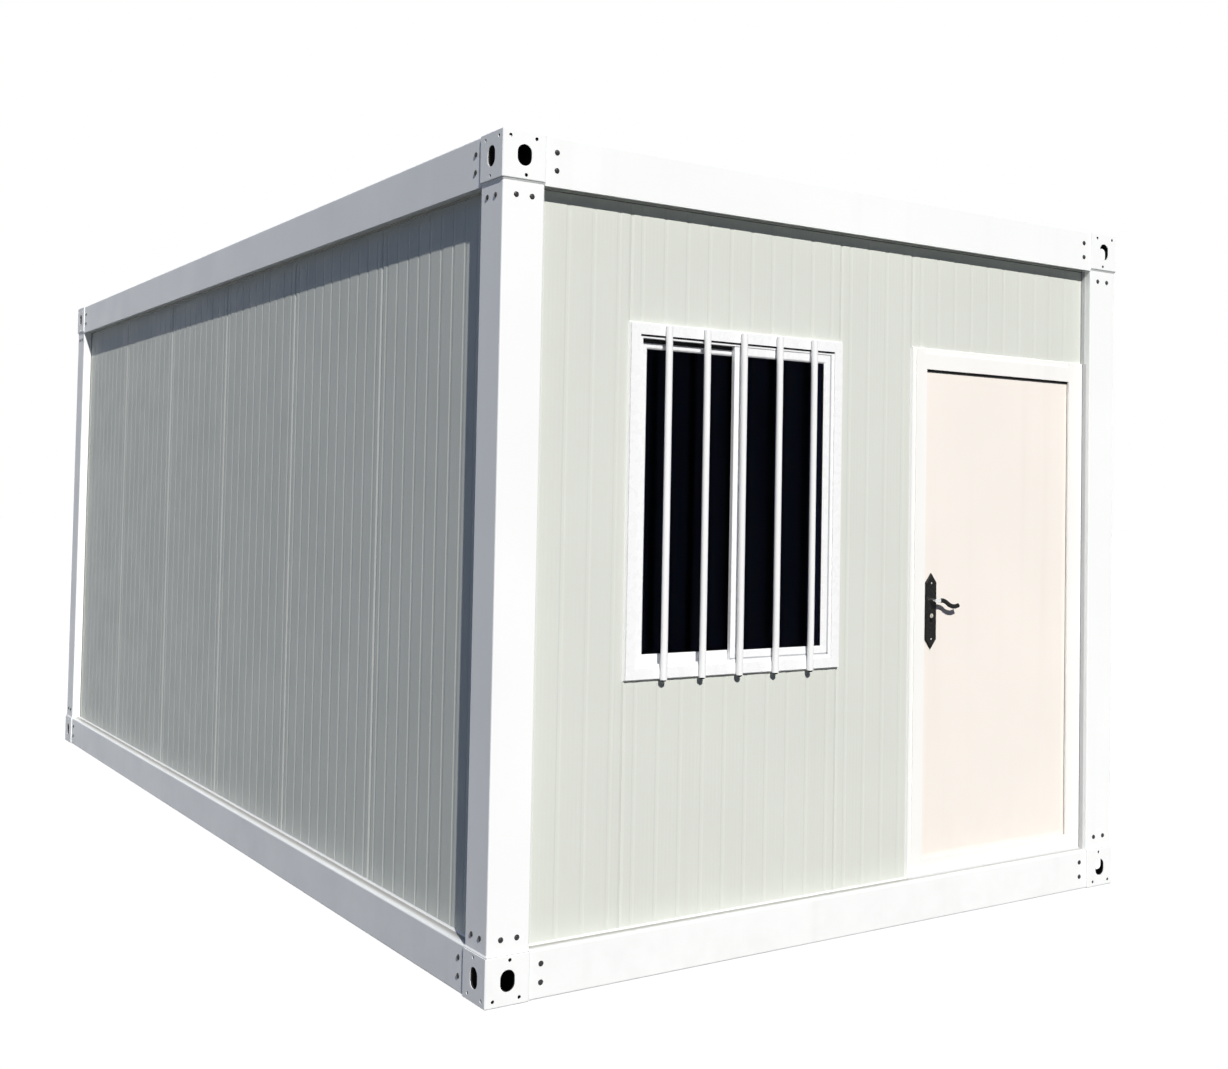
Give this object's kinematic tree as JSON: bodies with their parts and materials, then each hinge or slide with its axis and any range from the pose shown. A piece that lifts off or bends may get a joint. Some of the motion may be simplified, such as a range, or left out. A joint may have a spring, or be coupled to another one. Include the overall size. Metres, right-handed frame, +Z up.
{
  "type": "prefab container house",
  "caption": "Flat-roofed prefab cabin: bolted white steel frame with slotted corner fittings, ribbed sandwich-panel walls, an inward-opening door and a barred sliding window.",
  "frame": {"origin": "bottom centre of the steel frame, on the ground", "axes": "+Z up, +Y along the length towards the rear, +X to the right seen from the front"},
  "size_m": [3, 5.95, 2.8],
  "materials": {
    "frame_white": "gloss white paint on folded steel",
    "panel_grey": "satin grey-white coated steel skin, finely ribbed",
    "galvanised": "galvanised steel",
    "floor_board": "plain grey-brown board",
    "ceiling_white": "satin white coated steel",
    "window_white": "white moulded plastic section",
    "glass": "clear float glass",
    "bar_white": "gloss white paint on steel tube",
    "door_frame_white": "satin white paint on steel",
    "door_cream": "satin cream-white paint on steel",
    "hinge_steel": "plain steel",
    "handle_black": "satin black",
    "lever_steel": "dark polished steel",
    "lock_brass": "plated brass"
  },
  "bodies": {
    "shell": {"bottom_corner_fittings": "frame_white", "top_corner_fittings": "frame_white", "front_left_post": "frame_white", "front_right_post": "frame_white", "rear_left_post": "frame_white", "rear_right_post": "frame_white", "bottom_front_beam": "frame_white", "bottom_rear_beam": "frame_white", "bottom_left_beam": "frame_white", "bottom_right_beam": "frame_white", "top_front_beam": "frame_white", "top_rear_beam": "frame_white", "top_left_beam": "frame_white", "top_right_beam": "frame_white", "left_wall_panels": "panel_grey", "right_wall_panels": "panel_grey", "rear_wall_panels": "panel_grey", "front_left_panel": "panel_grey", "window_apron_panel": "panel_grey", "window_head_panel": "panel_grey", "front_middle_panel": "panel_grey", "door_head_panel": "panel_grey", "floor_joists": "galvanised", "roof_purlins": "galvanised", "roof_sheet": "galvanised", "floor_board": "floor_board", "ceiling_panel": "ceiling_white", "window_frame": "window_white", "window_left_sash": "window_white", "window_right_sash": "window_white", "window_glass": "glass", "window_bars": "bar_white", "door_left_jamb": "door_frame_white", "door_right_jamb": "door_frame_white", "door_head": "door_frame_white", "door_threshold": "door_frame_white", "door_frame_hinges": "hinge_steel"},
    "door": {"door_leaf": "door_cream", "door_leaf_hinges": "hinge_steel", "door_handle_plates": "handle_black", "lock_cylinder": "lock_brass"},
    "door_lever": {"outer_lever": "lever_steel", "inner_lever": "lever_steel"}
  },
  "joints": [
    {"name": "door_swing", "type": "hinge", "parent": "shell", "child": "door", "pos_m": [1.27, -2.859, 1.19], "axis": [0, 0, -1], "range_deg": [0, 90]},
    {"name": "lever_turn", "type": "hinge", "parent": "door", "child": "door_lever", "pos_m": [0.46206, -2.892, 1.236], "axis": [0, 1, 0], "range_deg": [0, 45], "stiffness_Nm_per_rad": 0.8, "springref_deg": -22.92}
  ]
}
